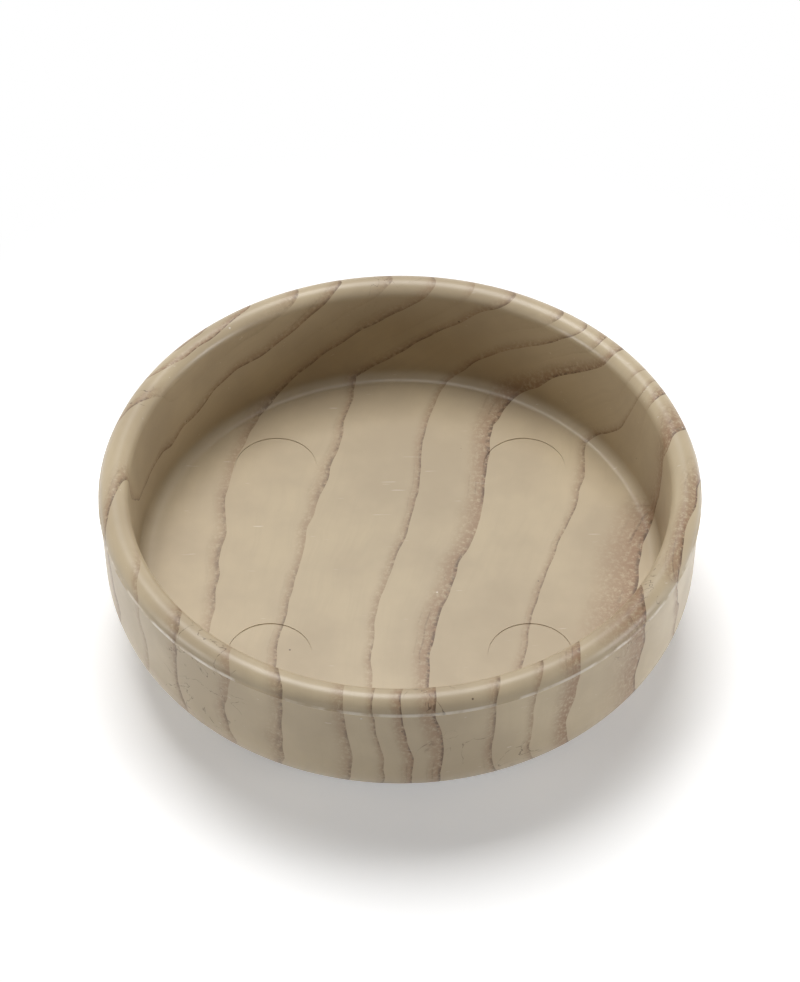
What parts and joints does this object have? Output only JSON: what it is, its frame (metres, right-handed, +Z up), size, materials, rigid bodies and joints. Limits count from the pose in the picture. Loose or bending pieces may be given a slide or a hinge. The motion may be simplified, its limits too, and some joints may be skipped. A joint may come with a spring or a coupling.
{
  "type": "felt caster cup",
  "caption": "Round moulded furniture cup with a rounded lip, a flat-floored well for a leg or caster, and a felt disc framed by a foot bead underneath.",
  "frame": {"origin": "centre of the felt disc's lower face, where the cup stands on the floor", "axes": "+Z up along the cup's axis, towards the open mouth; X and Y are equivalent"},
  "size_m": [0.07, 0.07, 0.0229],
  "materials": {
    "moulded_wood_look": "satin injection-moulded plastic with wood-coloured flow lines",
    "adhesive": "clear pressure-sensitive adhesive film",
    "felt": "needled felt of mixed white, grey and black fibres"
  },
  "bodies": {
    "root": {"cup_body": "moulded_wood_look", "adhesive_film": "adhesive", "felt_pad": "felt"}
  },
  "joints": []
}
